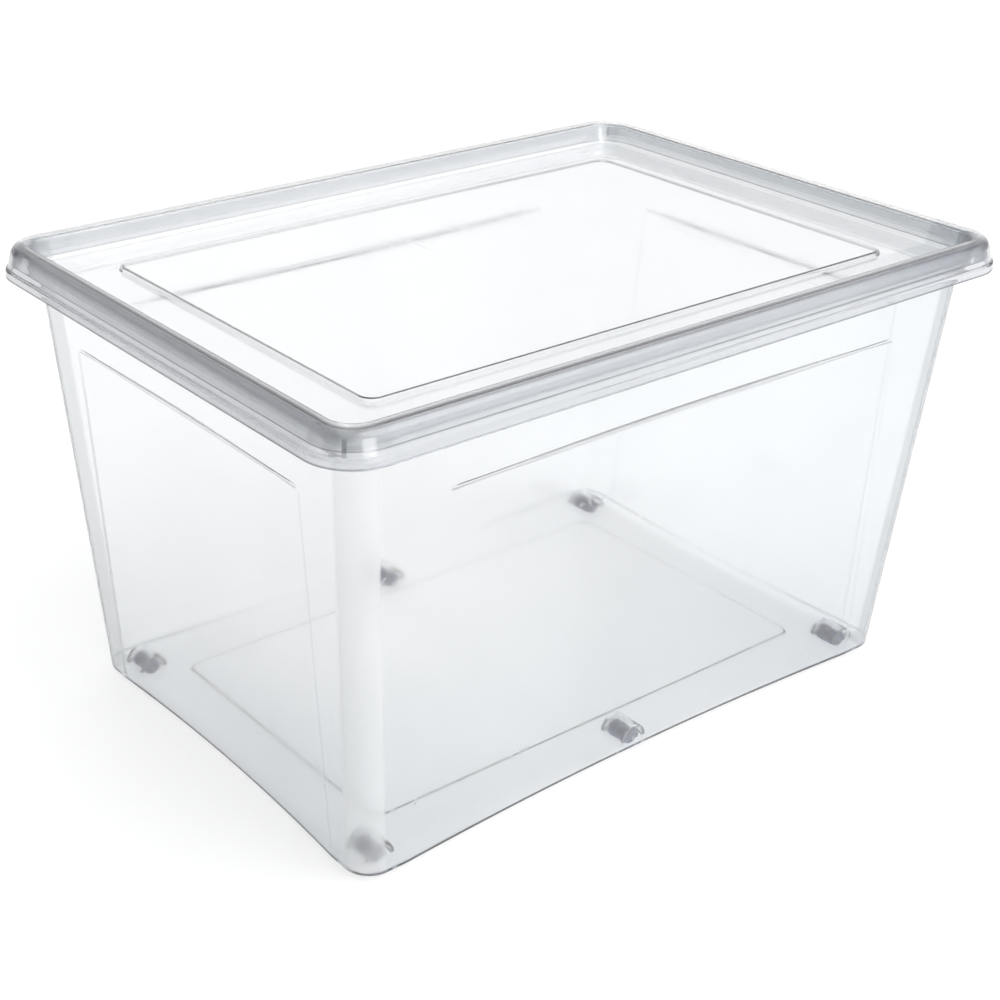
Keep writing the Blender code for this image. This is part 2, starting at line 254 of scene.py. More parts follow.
# (offset from the crest line, z) of the rolled rim: under side, lip and upper side
RIM_UNDER = (
    (-5.9, 303.5),
    (-4.6, 306.5),
    (-2.8, 313.0),
    (-0.9, 319.6),
    (-0.4, 321.4),
    (0.6, 322.3),
    (2.0, 322.2),
    (3.2, 321.4),
    (4.1, 320.2),
    (4.8, 318.4),
    (6.0, 313.8),
)
RIM_LIP = ((6.1, 313.5), (6.4, 313.35), (7.4, 313.35), (7.7, 313.5))
RIM_OVER = (
    (7.72, 313.8),
    (6.6, 318.7),
    (6.0, 320.6),
    (5.0, 322.0),
    (3.7, 323.2),
    (2.0, 324.0),
    (0.2, 324.3),
    (-1.2, 323.6),
    (-2.0, 322.2),
    (-2.6, 320.0),
    (-4.4, 314.0),
    (-6.4, 307.0),
    (-7.6, 304.5),
)

# Heights of the plain rings of the wall, and the round where a panel's bow ends at its ledge, as
# (z from the ledge, share of the bow)
WALL_LEVELS = (40.0, 80.0, 120.0, 160.0, 200.0, 235.0, 258.0)
NECK_LEVELS = (284.0, 294.0)
LEDGE_ROUND = (
    (-1.2, 1.0),
    (-1.0, 0.985),
    (-0.8, 0.9),
    (-0.5, 0.5),
    (-0.2, 0.1),
    (0.0, 0.015),
    (0.2, 0.0),
    (0.8, 0.0),
)

# The floor's raised middle, and how far its underside's riser is set in
STEP_X, STEP_Y, STEP_R, STEP_RISE, STEP_INSET = 199.6, 118.4, 11.0, 1.6, 1.0

# The rollers' places, each with its body; the nodes are roller_ and axle_pin_ with the place
BODIES = {
    "front_left": "roller_fl",
    "front_middle": "roller_fm",
    "front_right": "roller_fr",
    "back_left": "roller_bl",
    "back_middle": "roller_bm",
    "back_right": "roller_br",
}


def node_centre(node):
    low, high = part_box(node)
    return (low + high) / 2


def step_rows(z, inset):
    """The riser of the floor's raised middle, outer foot to inner top, with its small rounds."""
    run = (0.0, 0.12, 0.35, 0.65, 0.88, 1.0, 1.6)
    rise = (0.0, 0.04, 0.28, 0.72, 0.96, 1.0, 1.0)
    return [
        plain_row(STEP_X - inset - a, STEP_Y - inset - a, STEP_R - inset - a, z + STEP_RISE * b)
        for a, b in zip(run, rise)
    ]


def bin_rows():
    """Every ring of the bin: under the floor, up the outside, over the rim and down the inside."""
    rows = step_rows(0.0, STEP_INSET)[::-1]
    rows.append(wall_row(0.0, inset=FOOT + 1.0, level=0.0))
    for inset, z in quarter(FOOT):
        rows.append(wall_row(z, inset=inset, level=0.0 if z < FOOT - 0.01 else None))
    for z in (4.0, 12.0, *WALL_LEVELS, 263.2):
        rows.append(wall_row(z))
    for rise, bow in LEDGE_ROUND:
        rows.append(wall_row(LEDGE_Z + rise, bow=bow))
    for z in (272.0, *NECK_LEVELS):
        rows.append(wall_row(z, bow=0.0))
    under = [wall_row(TOP_Z, bow=0.0), wall_row(300.0, bow=0.0)]
    under += [crest_row(d, z) for d, z in RIM_UNDER]
    rows += rounded(under)
    rows += [crest_row(d, z) for d, z in RIM_LIP]
    over = [crest_row(d, z) for d, z in RIM_OVER]
    over += [wall_row(z, inset=WALL, bow=0.0) for z in (300.5, TOP_Z)]
    rows += rounded(over)
    for z in (*reversed(NECK_LEVELS), 274.0):
        rows.append(wall_row(z, inset=WALL, bow=0.0))
    for rise, bow in reversed(LEDGE_ROUND):
        rows.append(wall_row(LEDGE_Z + WALL + rise, inset=WALL, bow=bow))
    for z in (265.2, *reversed(WALL_LEVELS), 14.0, WALL + 2.5):
        rows.append(wall_row(z, inset=WALL))
    for inset, z in reversed(quarter(INSIDE_FOOT)):
        rows.append(wall_row(WALL + z, inset=WALL + inset, level=WALL))
    rows.append(wall_row(WALL, inset=WALL + INSIDE_FOOT + 1.0, level=WALL))
    rows += step_rows(WALL, 0.0)
    return rows


# Radius and half length along Y of the wells' domes, of the wells and of the pins' seats
DOME_R, DOME_HALF, DOME_ROUND = 11.0, 11.5, 1.2
WELL_R, WELL_HALF = 9.0, 9.0
SEAT_R, SEAT_HALF = 1.5, 11.0


def add_prism(mesh_bm, outline, half, centre, round_edge=0.0):
    """A prism along Y of an outline in X and Z, its end edges rounded by round_edge."""
    stations = [(-half, 0.0)]
    if round_edge:
        stations = [(y - half, cut) for y, cut in reversed(quarter(round_edge, 4))]
    stations += [(-y, cut) for y, cut in reversed(stations)]
    loops = []
    for y, cut in stations:
        loop = []
        for x, z in outline:
            if z > -0.01:
                length = math.hypot(x, z)
                share = (length - cut) / length
                place = (x * share, y, z * share)
            else:
                place = (x * (abs(x) - cut) / abs(x), y, z)
            loop.append(mesh_bm.verts.new(tuple((np.array(centre) + place) * MM)))
        loops.append(loop)
    count = len(outline)
    for near, far in zip(loops, loops[1:]):
        for i in range(count):
            j = (i + 1) % count
            mesh_bm.faces.new((near[i], near[j], far[j], far[i]))
    mesh_bm.faces.new(loops[0])
    mesh_bm.faces.new(tuple(reversed(loops[-1])))


def arch(radius, low):
    """Outline in X and Z of a half circle on straight legs that end at low."""
    outline = [(radius, low)]
    outline += [(radius * math.cos(a), radius * math.sin(a)) for a in np.linspace(0, math.pi, 29)]
    outline.append((-radius, low))
    return outline


def circle(radius, steps=24):
    return [
        (radius * math.cos(a), radius * math.sin(a))
        for a in np.linspace(0, 2 * math.pi, steps, endpoint=False)
    ]


def cutter(name, outline, half, centres, round_edge=0.0):
    """One helper object with the same prism at each of centres."""
    mesh_bm = bmesh.new()
    for centre in centres:
        add_prism(mesh_bm, outline, half, centre, round_edge)
    bmesh.ops.recalc_face_normals(mesh_bm, faces=mesh_bm.faces)
    return new_object(name, mesh_bm)


def boolean(obj, other, operation):
    modifier = obj.modifiers.new(operation, "BOOLEAN")
    modifier.object = other
    modifier.operation = operation
    modifier.solver = "EXACT"


def apply_modifiers(obj):
    graph = bpy.context.evaluated_depsgraph_get()
    mesh = bpy.data.meshes.new_from_object(obj.evaluated_get(graph))
    obj.modifiers.clear()
    old = obj.data
    obj.data = mesh
    bpy.data.meshes.remove(old)


def crease_panels(obj):
    """Keep the upright edges of the four pressed panels crisp."""
    # The long walls lie past side_y and the short walls past side_x
    side_y, side_x, close = 158.0, 236.0, 0.1
    mesh_bm = bmesh.new()
    mesh_bm.from_mesh(obj.data)
    for edge in mesh_bm.edges:
        ends = [vert.co / MM for vert in edge.verts]
        if abs(ends[0].z - ends[1].z) < 0.2 or max(end.z for end in ends) > LEDGE_Z + LIFT + 1.0:
            continue
        on_edge = []
        for end in ends:
            up = panel_share(end.z - LIFT)
            long_gap = LONG_PANEL - LONG_PANEL_LESS * up - abs(end.x)
            short_gap = SHORT_PANEL - SHORT_PANEL_LESS * up - abs(end.y)
            at_long = abs(end.y) > side_y and min(abs(long_gap), abs(long_gap - WALL)) < close
            at_short = abs(end.x) > side_x and min(abs(short_gap), abs(short_gap - WALL)) < close
            on_edge.append(at_long or at_short)
        if all(on_edge):
            edge.smooth = False
    mesh_bm.to_mesh(obj.data)
    mesh_bm.free()


def build_bin():
    """The bin's shell with the domes, wells and pin seats of the rollers."""
    body = loft("bin_shell", bin_rows())
    centres = [node_centre("roller_" + label) / MM for label in BODIES]
    axle_z = centres[0][2]
    domes = cutter("domes", arch(DOME_R, -(axle_z - LIFT) + 1.0), DOME_HALF, centres, DOME_ROUND)
    wells = cutter("wells", arch(WELL_R, -axle_z - 2.0), WELL_HALF, centres)
    seats = cutter("seats", circle(SEAT_R), SEAT_HALF, centres)
    boolean(body, domes, "UNION")
    boolean(body, wells, "DIFFERENCE")
    apply_modifiers(body)
    boolean(body, seats, "DIFFERENCE")
    apply_modifiers(body)
    for helper in (domes, wells, seats):
        bpy.data.objects.remove(helper, do_unlink=True)
    shade(body)
    crease_panels(body)
    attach(body, "bin")
    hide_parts("bin_body")
    return body


# ---------------------------------------------------------------- lid

# (offset from the crest line, z) of the lid's upper skin, lip and under skin
LID_TOP = (
    (12.9, 305.5),
    (12.8, 309.2),
    (12.2, 310.4),
    (11.1, 311.2),
    (10.6, 313.0),
    (9.2, 319.0),
    (8.6, 321.4),
    (7.3, 323.6),
    (5.2, 325.3),
    (2.6, 326.3),
    (0.0, 326.5),
    (-2.4, 326.0),
    (-4.0, 324.8),
    (-4.8, 322.9),
    (-6.2, 318.7),
    (-7.8, 313.8),
    (-8.7, 311.5),
    (-9.6, 310.65),
    (-11.2, 310.5),
)
LID_LIP = ((12.98, 305.3), (12.7, 305.05), (12.4, 305.0), (11.8, 305.0), (11.4, 305.1), (11.2, 305.4))
LID_UNDER = (
    (11.2, 305.6),
    (10.9, 309.2),
    (10.4, 310.2),
    (9.3, 311.0),
    (8.6, 313.6),
    (7.4, 318.8),
    (6.85, 320.9),
    (5.8, 322.5),
    (4.4, 323.7),
    (2.2, 324.5),
    (0.0, 324.7),
    (-1.6, 324.35),
    (-2.4, 323.6),
    (-3.0, 322.3),
    (-4.6, 317.5),
    (-6.0, 313.3),
    (-7.0, 310.3),
    (-8.2, 308.9),
    (-10.0, 308.7),
)

# The raised panel, its under skin's shift, and the two skins' heights and flat rings round it
PANEL_X, PANEL_Y, PANEL_R, PANEL_RISE, PANEL_RUN = 221.5, 143.5, 10.0, 3.2, 1.6
UNDER_SHIFT = -1.8
LEDGE_UNDER, LEDGE_OVER = 308.7, 310.5
RING_UNDER, RING_OVER = 2.6, 4.0


def lid_row(offset, z):
    return plain_row(CREST_X + offset, CREST_Y + offset, CREST_R + offset, z)


def panel_row(offset, z):
    return plain_row(PANEL_X + offset, PANEL_Y + offset, PANEL_R + offset, z)


def riser_rows(z, shift):
    """The riser of the lid's raised panel, outer foot to inner top."""
    steps = np.linspace(0.0, 1.0, 11)
    run = [*(1.0 - steps), -0.4]
    rise = [*(steps * steps * (3.0 - 2.0 * steps)), 1.0]
    return [panel_row(shift + PANEL_RUN * a, z + PANEL_RISE * b) for a, b in zip(run, rise)]


def corner_ribs():
    """A small upright under the lip at the middle of each corner, leaning with the skin."""
    width, proud, root, edge_round = 2.4, 0.45, 0.9, 0.15
    low, high = 311.6, 321.0
    (foot_offset, foot_z), (top_offset, top_z) = LID_UNDER[3], LID_UNDER[5]
    slope = (foot_offset - top_offset) / (top_z - foot_z)
    lean = math.atan(slope)
    middle = (low + high) / 2
    radial = CREST_R + foot_offset - slope * (middle - foot_z) + (root - proud) / 2
    mesh_bm = bmesh.new()
    for turn, (sx, sy) in enumerate(CORNERS):
        corner = Vector((sx * (CREST_X - CREST_R), sy * (CREST_Y - CREST_R), middle + LIFT)) * MM
        size = Vector((proud + root, width, (high - low) / math.cos(lean))) * MM
        place = (
            Matrix.Translation(corner)
            @ Matrix.Rotation(math.pi / 4 + turn * math.pi / 2, 4, "Z")
            @ Matrix.Translation((radial * MM, 0, 0))
            @ Matrix.Rotation(-lean, 4, "Y")
            @ Matrix.Diagonal(size.to_4d())
        )
        bmesh.ops.create_cube(mesh_bm, size=1.0, matrix=place)
    bmesh.ops.bevel(
        mesh_bm, geom=mesh_bm.edges[:], offset=edge_round * MM, segments=2, affect="EDGES", profile=0.5
    )
    return new_object("corner_ribs", mesh_bm)


def build_lid():
    rows = riser_rows(LEDGE_UNDER, UNDER_SHIFT)[::-1]
    rows.append(panel_row(RING_UNDER, LEDGE_UNDER))
    rows += rounded([lid_row(d, z) for d, z in reversed(LID_UNDER)])
    rows += [lid_row(d, z) for d, z in reversed(LID_LIP)]
    rows += rounded([lid_row(d, z) for d, z in LID_TOP])
    rows.append(panel_row(RING_OVER, LEDGE_OVER))
    rows += riser_rows(LEDGE_OVER, 0.0)
    lid = loft("lid_shell", rows)
    ribs = corner_ribs()
    boolean(lid, ribs, "UNION")
    apply_modifiers(lid)
    bpy.data.objects.remove(ribs, do_unlink=True)
    shade(lid)
    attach(lid, "lid_cover")
    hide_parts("lid")
    return lid


# ---------------------------------------------------------------- rollers and pins


def lathe(name, profile, steps, centre, closed=True):
    """A piece turned about Y through centre, from (radius, along) in millimetres."""
    mesh_bm = bmesh.new()
    columns = []
    for step in range(steps):
        a = 2 * math.pi * step / steps
        columns.append(
            [
                mesh_bm.verts.new((r * math.cos(a) * MM, y * MM, r * math.sin(a) * MM))
                for r, y in profile
            ]
        )
    count = len(profile)
    spans = count if closed else count - 1
    for column, after in zip(columns, columns[1:] + columns[:1]):
        for i in range(spans):
            j = (i + 1) % count
            mesh_bm.faces.new((column[i], column[j], after[j], after[i]))
    if not closed:
        mesh_bm.faces.new([column[0] for column in columns])
        mesh_bm.faces.new([column[-1] for column in reversed(columns)])
    bmesh.ops.recalc_face_normals(mesh_bm, faces=mesh_bm.faces)
    obj = new_object(name, mesh_bm)
    obj.location = centre
    shade(obj, 35)
    return obj


def rounded_profile(points, radius=0.25, parts=3):
    """A closed outline with each corner cut back to a small round."""
    out = []
    count = len(points)
    for i, corner in enumerate(points):
        corner = np.array(corner, float)
        before = np.array(points[i - 1], float)
        after = np.array(points[(i + 1) % count], float)
        a = before - corner
        b = after - corner
        cut = min(radius, np.linalg.norm(a) * 0.45, np.linalg.norm(b) * 0.45)
        p = corner + a / np.linalg.norm(a) * cut
        q = corner + b / np.linalg.norm(b) * cut
        for t in np.linspace(0, 1, parts + 1):
            out.append(tuple((1 - t) ** 2 * p + 2 * t * (1 - t) * corner + t * t * q))
    return out


def roller_profile(radius, half):
    """Closed (radius, along) outline of a grooved spool with sunk end faces round its hub."""
    bore, groove_half, groove_depth, sink, hub = 1.5, 1.4, 1.3, 0.9, 2.6
    side = [
        (bore, half),
        (hub, half),
        (hub + 0.6, half - sink),
        (radius - 1.3, half - sink),
        (radius - 0.9, half - 0.1),
        (radius - 0.35, half - 0.15),
        (radius, half - 0.9),
        (radius, groove_half + 0.5),
        (radius - groove_depth, groove_half),
    ]
    return side + [(r, -y) for r, y in reversed(side)]


ROLLER_STEPS, PIN_STEPS, PIN_ROUND = 64, 40, 0.3


def radius_and_half(node):
    """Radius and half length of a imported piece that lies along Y, in millimetres."""
    low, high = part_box(node)
    return (high[2] - low[2]) / 2 / MM, (high[1] - low[1]) / 2 / MM


def build_rollers(roller_material, pin_material):
    for label in BODIES:
        node = "roller_" + label
        centre = node_centre(node)
        profile = rounded_profile(roller_profile(*radius_and_half(node)))
        roller = lathe("spool_" + label, profile, ROLLER_STEPS, centre)
        roller.data.materials.append(roller_material)
        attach(roller, BODIES[label])
        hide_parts(node)
        pin_node = "axle_pin_" + label
        pin_radius, pin_half = radius_and_half(pin_node)
        end = [
            (pin_radius - PIN_ROUND, -pin_half),
            (pin_radius - 0.08, -pin_half + 0.1),
            (pin_radius, -pin_half + PIN_ROUND),
        ]
        outline = end + [(r, -y) for r, y in reversed(end)]
        pin = lathe("pin_" + label, outline, PIN_STEPS, centre, closed=False)
        pin.data.materials.append(pin_material)
        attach(pin, "bin")
        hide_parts(pin_node)


# ---------------------------------------------------------------- materials

# Clear plastic: two tints that its haze runs between, two roughnesses, and the share of light
# that passes; a corner post passes less and is rougher by POST_ROUGH
BODY_TINT = ((0.955, 0.966, 0.972, 1.0), (0.973, 0.981, 0.986, 1.0))
BODY_ROUGH = (0.03, 0.09)
BODY_CLARITY = 0.955
POST_CLARITY = 0.86
POST_ROUGH = 0.14
LID_TINT = ((0.956, 0.959, 0.964, 1.0), (0.97, 0.973, 0.977, 1.0))
LID_ROUGH = (0.02, 0.07)
LID_CLARITY = 0.95

# Painted shade that darkens the body's bands
ROLL_SHADE = (0.96, 0.965, 0.97, 1.0)
LOW_SHADE = (0.948, 0.956, 0.963, 1.0)
LEFT_LOW_SHADE = (0.92, 0.927, 0.933, 1.0)
FLOOR_SHADE = (0.935, 0.94, 0.945, 1.0)
RIGHT_SHADE = (0.95, 0.956, 0.963, 1.0)
POST_SHADE = (0.86, 0.868, 0.876, 1.0)
LEDGE_LINE_SHADE = (0.55, 0.55, 0.57, 1.0)
UPRIGHT_LINE_SHADE = (0.86, 0.865, 0.875, 1.0)

# Painted shade that darkens the lid's bands
LIP_SHADE = (0.84, 0.84, 0.855, 1.0)
SHOULDER_SHADE = (0.94, 0.936, 0.94, 1.0)
CREST_SHADE = (0.75, 0.748, 0.758, 1.0)
LEFT_RIDGE_SHADE = (0.79, 0.788, 0.796, 1.0)
BACK_RIDGE_SHADE = (0.93, 0.936, 0.94, 1.0)
NEAR_LEDGE_SHADE = (0.968, 0.974, 0.977, 1.0)
RIGHT_END_SHADE = (0.9, 0.905, 0.915, 1.0)
RISER_SHADE = (0.88, 0.88, 0.885, 1.0)

# Thin lines of painted shade along creases, and the heights of the two along the foot of the walls
LINE_SHADE = (0.6, 0.61, 0.63, 1.0)
FOOT_LINES = ((0.3, 1.4), (2.2, 3.2))


class Nodes:
    """Short way to lay out a material's nodes."""

    def __init__(self, name):
        self.material = bpy.data.materials.new(name)
        self.material.use_nodes = True
        self.tree = self.material.node_tree
        self.tree.nodes.clear()
        self.out = self.tree.nodes.new("ShaderNodeOutputMaterial")
        self.shader = self.add("ShaderNodeBsdfPrincipled")
        self.link(self.shader, "BSDF", self.out, "Surface")
        self.coords = self.add("ShaderNodeTexCoord")

    def add(self, kind, **values):
        node = self.tree.nodes.new(kind)
        for key, value in values.items():
            setattr(node, key, value)
        return node

    def link(self, a, out, b, into):
        self.tree.links.new(a.outputs[out], b.inputs[into])

    def noise(self, scale, detail=3.0, roughness=0.5, stretch=None):
        source, socket = self.coords, "Object"
        if stretch:
            mapping = self.add("ShaderNodeMapping")
            mapping.inputs["Scale"].default_value = stretch
            self.link(source, socket, mapping, "Vector")
            source, socket = mapping, "Vector"
        node = self.add("ShaderNodeTexNoise")
        node.inputs["Scale"].default_value = scale
        node.inputs["Detail"].default_value = detail
        node.inputs["Roughness"].default_value = roughness
        self.link(source, socket, node, "Vector")
        return node

    def ramp(self, source, socket, stops):
        node = self.add("ShaderNodeValToRGB")
        elements = node.color_ramp.elements
        while len(elements) > 1:
            elements.remove(elements[-1])
        elements[0].position, elements[0].color = stops[0][0], stops[0][1]
        for position, colour in stops[1:]:
            elements.new(position).color = colour
        self.link(source, socket, node, "Fac")
        return node

    def spread(self, source, socket, low, high, from_low=0.3, from_high=0.7):
        node = self.add("ShaderNodeMapRange")
        node.inputs["From Min"].default_value = from_low
        node.inputs["From Max"].default_value = from_high
        node.inputs["To Min"].default_value = low
        node.inputs["To Max"].default_value = high
        self.link(source, socket, node, "Value")
        return node

    def maths(self, operation, *values):
        """The output of a Math node whose inputs are sockets or numbers."""
        node = self.add("ShaderNodeMath", operation=operation)
        for socket, value in zip(node.inputs, values):
            if isinstance(value, bpy.types.NodeSocket):
                self.tree.links.new(value, socket)
            else:
                socket.default_value = value
        return node.outputs[0]

    def step(self, value, low, high):
        """A smooth step of value from low to high, in millimetres."""
        edge = self.add("ShaderNodeMapRange", interpolation_type="SMOOTHSTEP")
        edge.inputs["From Min"].default_value = low * MM
        edge.inputs["From Max"].default_value = high * MM
        self.tree.links.new(value, edge.inputs["Value"])
        return edge.outputs["Result"]

    def invert(self, mask):
        return self.maths("SUBTRACT", 1.0, mask)

    def both(self, one, other):
        return self.maths("MULTIPLY", one, other)

    def away(self, value):
        """Distance from the middle plane."""
        return self.maths("ABSOLUTE", value)

    def place(self):
        split = self.add("ShaderNodeSeparateXYZ")
        self.link(self.coords, "Object", split, "Vector")
        return split.outputs

    def rise(self, axis, low, high):
        """0 before low to 1 past high along X, -X, Y or Z, where Z counts from the bin's base."""
        value = self.place()[axis[-1]]
        if axis == "-X":
            value = self.maths("MULTIPLY", value, -1.0)
        base = LIFT if axis == "Z" else 0.0
        return self.step(value, base + low, base + high)

    def band(self, value, low, high, soft=0.3):
        """1 while value is between low and high, in millimetres, with soft ends."""
        rising = self.step(value, low - soft, low + soft)
        falling = self.step(value, high - soft, high + soft)
        return self.maths("SUBTRACT", rising, falling)

    def level_band(self, low, high, soft=0.3):
        """1 between two heights over the bin's base."""
        return self.band(self.place()["Z"], LIFT + low, LIFT + high, soft)

    def past_each(self, half_x, half_y, near_only=False):
        """How far a point is past half_x and past half_y, from the middle or towards left and front."""
        place = self.place()
        beyond = []
        for axis, half in (("X", half_x), ("Y", half_y)):
            side = self.maths("MULTIPLY", place[axis], -1.0) if near_only else self.away(place[axis])
            beyond.append(self.maths("SUBTRACT", side, half * MM))
        return beyond

    def past(self, half_x, half_y, near_only=False):
        """How far a point is outside a level rectangle, or outside its left and front sides only."""
        return self.maths("MAXIMUM", *self.past_each(half_x, half_y, near_only))

    def past_both(self, half_x, half_y):
        """How far a point is past both half_x and half_y, towards a corner."""
        return self.maths("MINIMUM", *self.past_each(half_x, half_y))

    def corner_mask(self):
        """1 on the rounded corner posts of the tapered walls, all but the back right one."""
        place = self.place()
        taper = (TOP_X - BASE_X) / TOP_Z
        past = []
        for axis, half in (("X", BASE_X), ("Y", BASE_Y)):
            level = self.maths("MULTIPLY_ADD", place["Z"], -taper, (WALL_R - half + LIFT * taper) * MM)
            past.append(self.maths("ADD", self.away(place[axis]), level))
        posts = self.step(self.maths("MINIMUM", *past), -0.5, 2.0)
        across = self.step(self.maths("ADD", place["X"], place["Y"]), 300.0, 340.0)
        return self.both(posts, self.invert(across))

    def upright_mask(self):
        """1 on the narrow upright edges of the short sides' pressed panels."""
        place = self.place()
        lean = SHORT_PANEL_LESS / LEDGE_Z
        edge = self.maths("MULTIPLY_ADD", place["Z"], lean, -(SHORT_PANEL + LIFT * lean) * MM)
        gap = self.away(self.maths("ADD", self.away(place["Y"]), edge))
        on_side = self.step(self.away(place["X"]), 234.0, 238.0)
        below = self.invert(self.rise("Z", LEDGE_Z - 3.0, LEDGE_Z - 1.0))
        return self.both(self.both(self.invert(self.step(gap, 0.3, 0.9)), on_side), below)

    def lip_mask(self):
        """1 on the lid's outer shoulder and lip, less on its right side, 0 inside its crest."""
        right = self.rise("X", CREST_X - 8.0, CREST_X + 1.0)
        share = self.maths("MULTIPLY_ADD", right, -0.6, 1.0)
        return self.both(self.step(self.past(CREST_X, CREST_Y), -0.5, 4.0), share)

    def rib_mask(self):
        """1 on the narrow upright at the middle of each corner of the lid's shoulder."""
        out_x, out_y = self.past_each(CREST_X - CREST_R, CREST_Y - CREST_R)
        across = self.away(self.maths("SUBTRACT", out_x, out_y))
        narrow = self.invert(self.step(across, 1.4, 2.2))
        outside = self.step(self.maths("MINIMUM", out_x, out_y), 15.0, 17.0)
        return self.both(self.both(narrow, outside), self.level_band(311.4, 321.0))

    def darken(self, tint, mask, colour):
        """Multiply tint by colour where mask is 1, make that the base colour, and return it."""
        mixed = self.add("ShaderNodeMix", data_type="RGBA", blend_type="MULTIPLY")
        self.tree.links.new(mask, mixed.inputs["Factor"])
        self.tree.links.new(tint, mixed.inputs[6])
        mixed.inputs[7].default_value = colour
        self.tree.links.new(mixed.outputs[2], self.shader.inputs["Base Color"])
        return mixed.outputs[2]

    def bumps(self, layers):
        """A chain of bumps from (source, socket, strength, distance)."""
        previous = None
        for source, socket, strength, distance in layers:
            bump = self.add("ShaderNodeBump")
            bump.inputs["Strength"].default_value = strength
            bump.inputs["Distance"].default_value = distance
            self.link(source, socket, bump, "Height")
            if previous:
                self.link(previous, "Normal", bump, "Normal")
            previous = bump
        self.link(previous, "Normal", self.shader, "Normal")


def clear_plastic(name, tint_low, tint_high, rough_low, rough_high, clarity):
    """Clear polypropylene: flow waviness, faint haze patches and hairline scratches."""
    m = Nodes(name)
    haze = m.noise(9.0, 4.0, 0.55)
    tint = m.ramp(haze, "Fac", [(0.35, tint_low), (0.7, tint_high)])
    m.link(tint, "Color", m.shader, "Base Color")
    patches = m.noise(26.0, 5.0, 0.6)
    rough = m.spread(patches, "Fac", rough_low, rough_high)
    m.link(rough, "Result", m.shader, "Roughness")
    m.shader.inputs["IOR"].default_value = 1.49
    m.shader.inputs["Transmission Weight"].default_value = clarity
    flow = m.noise(7.0, 2.0, 0.4, (1.0, 1.0, 0.35))
    scratch = m.noise(220.0, 2.0, 0.4, (1.0, 0.04, 1.0))
    scratch_cut = m.spread(scratch, "Fac", 0.0, 1.0, 0.66, 0.72)
    m.bumps([(flow, "Fac", 0.05, 0.002), (scratch_cut, "Result", 0.06, 0.0002)])
    return m, tint, rough


def body_plastic():
    m, tint, rough = clear_plastic("clear_body", *BODY_TINT, *BODY_ROUGH, BODY_CLARITY)
    # Corner posts: cloudier and rougher
    posts = m.corner_mask()
    total = m.maths("MULTIPLY_ADD", posts, POST_ROUGH, rough.outputs["Result"])
    m.tree.links.new(total, m.shader.inputs["Roughness"])
    clarity = m.maths("MULTIPLY_ADD", posts, POST_CLARITY - BODY_CLARITY, BODY_CLARITY)
    m.tree.links.new(clarity, m.shader.inputs["Transmission Weight"])
    # Painted shade on the roll of the rim
    colour = m.darken(tint.outputs["Color"], m.rise("Z", 312.0, 318.0), ROLL_SHADE)
    # Painted shade on the lower part of the walls, on the near half and more on the left wall
    low = m.both(m.invert(m.rise("Z", 5.0, 170.0)), m.invert(posts))
    near = m.invert(m.rise("Y", -80.0, 110.0))
    colour = m.darken(colour, m.both(low, near), LOW_SHADE)
    left = m.rise("-X", 228.0, 238.0)
    colour = m.darken(colour, m.both(low, left), LEFT_LOW_SHADE)
    # Painted shade on the floor, on its left
    floor = m.invert(m.rise("Z", 4.5, 5.5))
    floor_left = m.invert(m.rise("X", -210.0, -20.0))
    colour = m.darken(colour, m.both(floor, floor_left), FLOOR_SHADE)
    # Painted shade on everything on the right
    colour = m.darken(colour, m.rise("X", 60.0, 230.0), RIGHT_SHADE)
    # Painted shade on the posts, all but the near one
    diagonal = m.maths("ADD", m.place()["X"], m.place()["Y"])
    colour = m.darken(colour, m.both(posts, m.step(diagonal, -300.0, -200.0)), POST_SHADE)
    # Painted shade lines along the foot, the panels' ledges and the panels' upright edges
    outside = m.step(m.past(BASE_X, BASE_Y), -6.0, -4.0)
    for low_z, high_z in FOOT_LINES:
        colour = m.darken(colour, m.both(outside, m.level_band(low_z, high_z, 0.2)), LINE_SHADE)
    on_panel = m.invert(m.step(m.past_both(192.0, 128.0), -2.0, 1.0))
    ledge = m.level_band(LEDGE_Z - 1.1, LEDGE_Z + 0.1, 0.15)
    colour = m.darken(colour, m.both(ledge, on_panel), LEDGE_LINE_SHADE)
    m.darken(colour, m.upright_mask(), UPRIGHT_LINE_SHADE)
    return m.material


def lid_plastic():
    m, tint, _ = clear_plastic("clear_lid", *LID_TINT, *LID_ROUGH, LID_CLARITY)
    # Painted shade on the lip, its shoulder, and the crest on the left and front
    lip = m.lip_mask()
    colour = m.darken(tint.outputs["Color"], lip, LIP_SHADE)
    shoulder = m.rise("Z", 317.5, 322.0)
    colour = m.darken(colour, m.both(lip, shoulder), SHOULDER_SHADE)
    crest = m.band(m.past(CREST_X, CREST_Y, near_only=True), -3.4, 3.0, 1.2)
    colour = m.darken(colour, m.both(crest, shoulder), CREST_SHADE)
    # Painted shade on the left ridge behind the near corner, and on the back ridge
    left = m.rise("-X", CREST_X - 4.5, CREST_X - 1.0)
    behind_corner = m.rise("Y", -CREST_Y + 2.0, -CREST_Y + 30.0)
    colour = m.darken(colour, m.both(left, behind_corner), LEFT_RIDGE_SHADE)
    colour = m.darken(colour, m.rise("Y", CREST_Y - 9.0, CREST_Y - 2.0), BACK_RIDGE_SHADE)
    # Painted shade on the ledge round the raised panel, more at the right end, and on the panel's riser
    ledge = m.step(m.past(PANEL_X, PANEL_Y, near_only=True), 1.6, 3.6)
    colour = m.darken(colour, ledge, NEAR_LEDGE_SHADE)
    colour = m.darken(colour, m.both(ledge, m.rise("X", 110.0, 235.0)), RIGHT_END_SHADE)
    colour = m.darken(colour, m.band(m.past(PANEL_X, PANEL_Y), -0.4, 1.6), RISER_SHADE)
    # Painted shade lines at the foot of the lip and on the corner ribs
    colour = m.darken(colour, m.level_band(304.0, 306.0), LINE_SHADE)
    m.darken(colour, m.rib_mask(), LINE_SHADE)
    return m.material


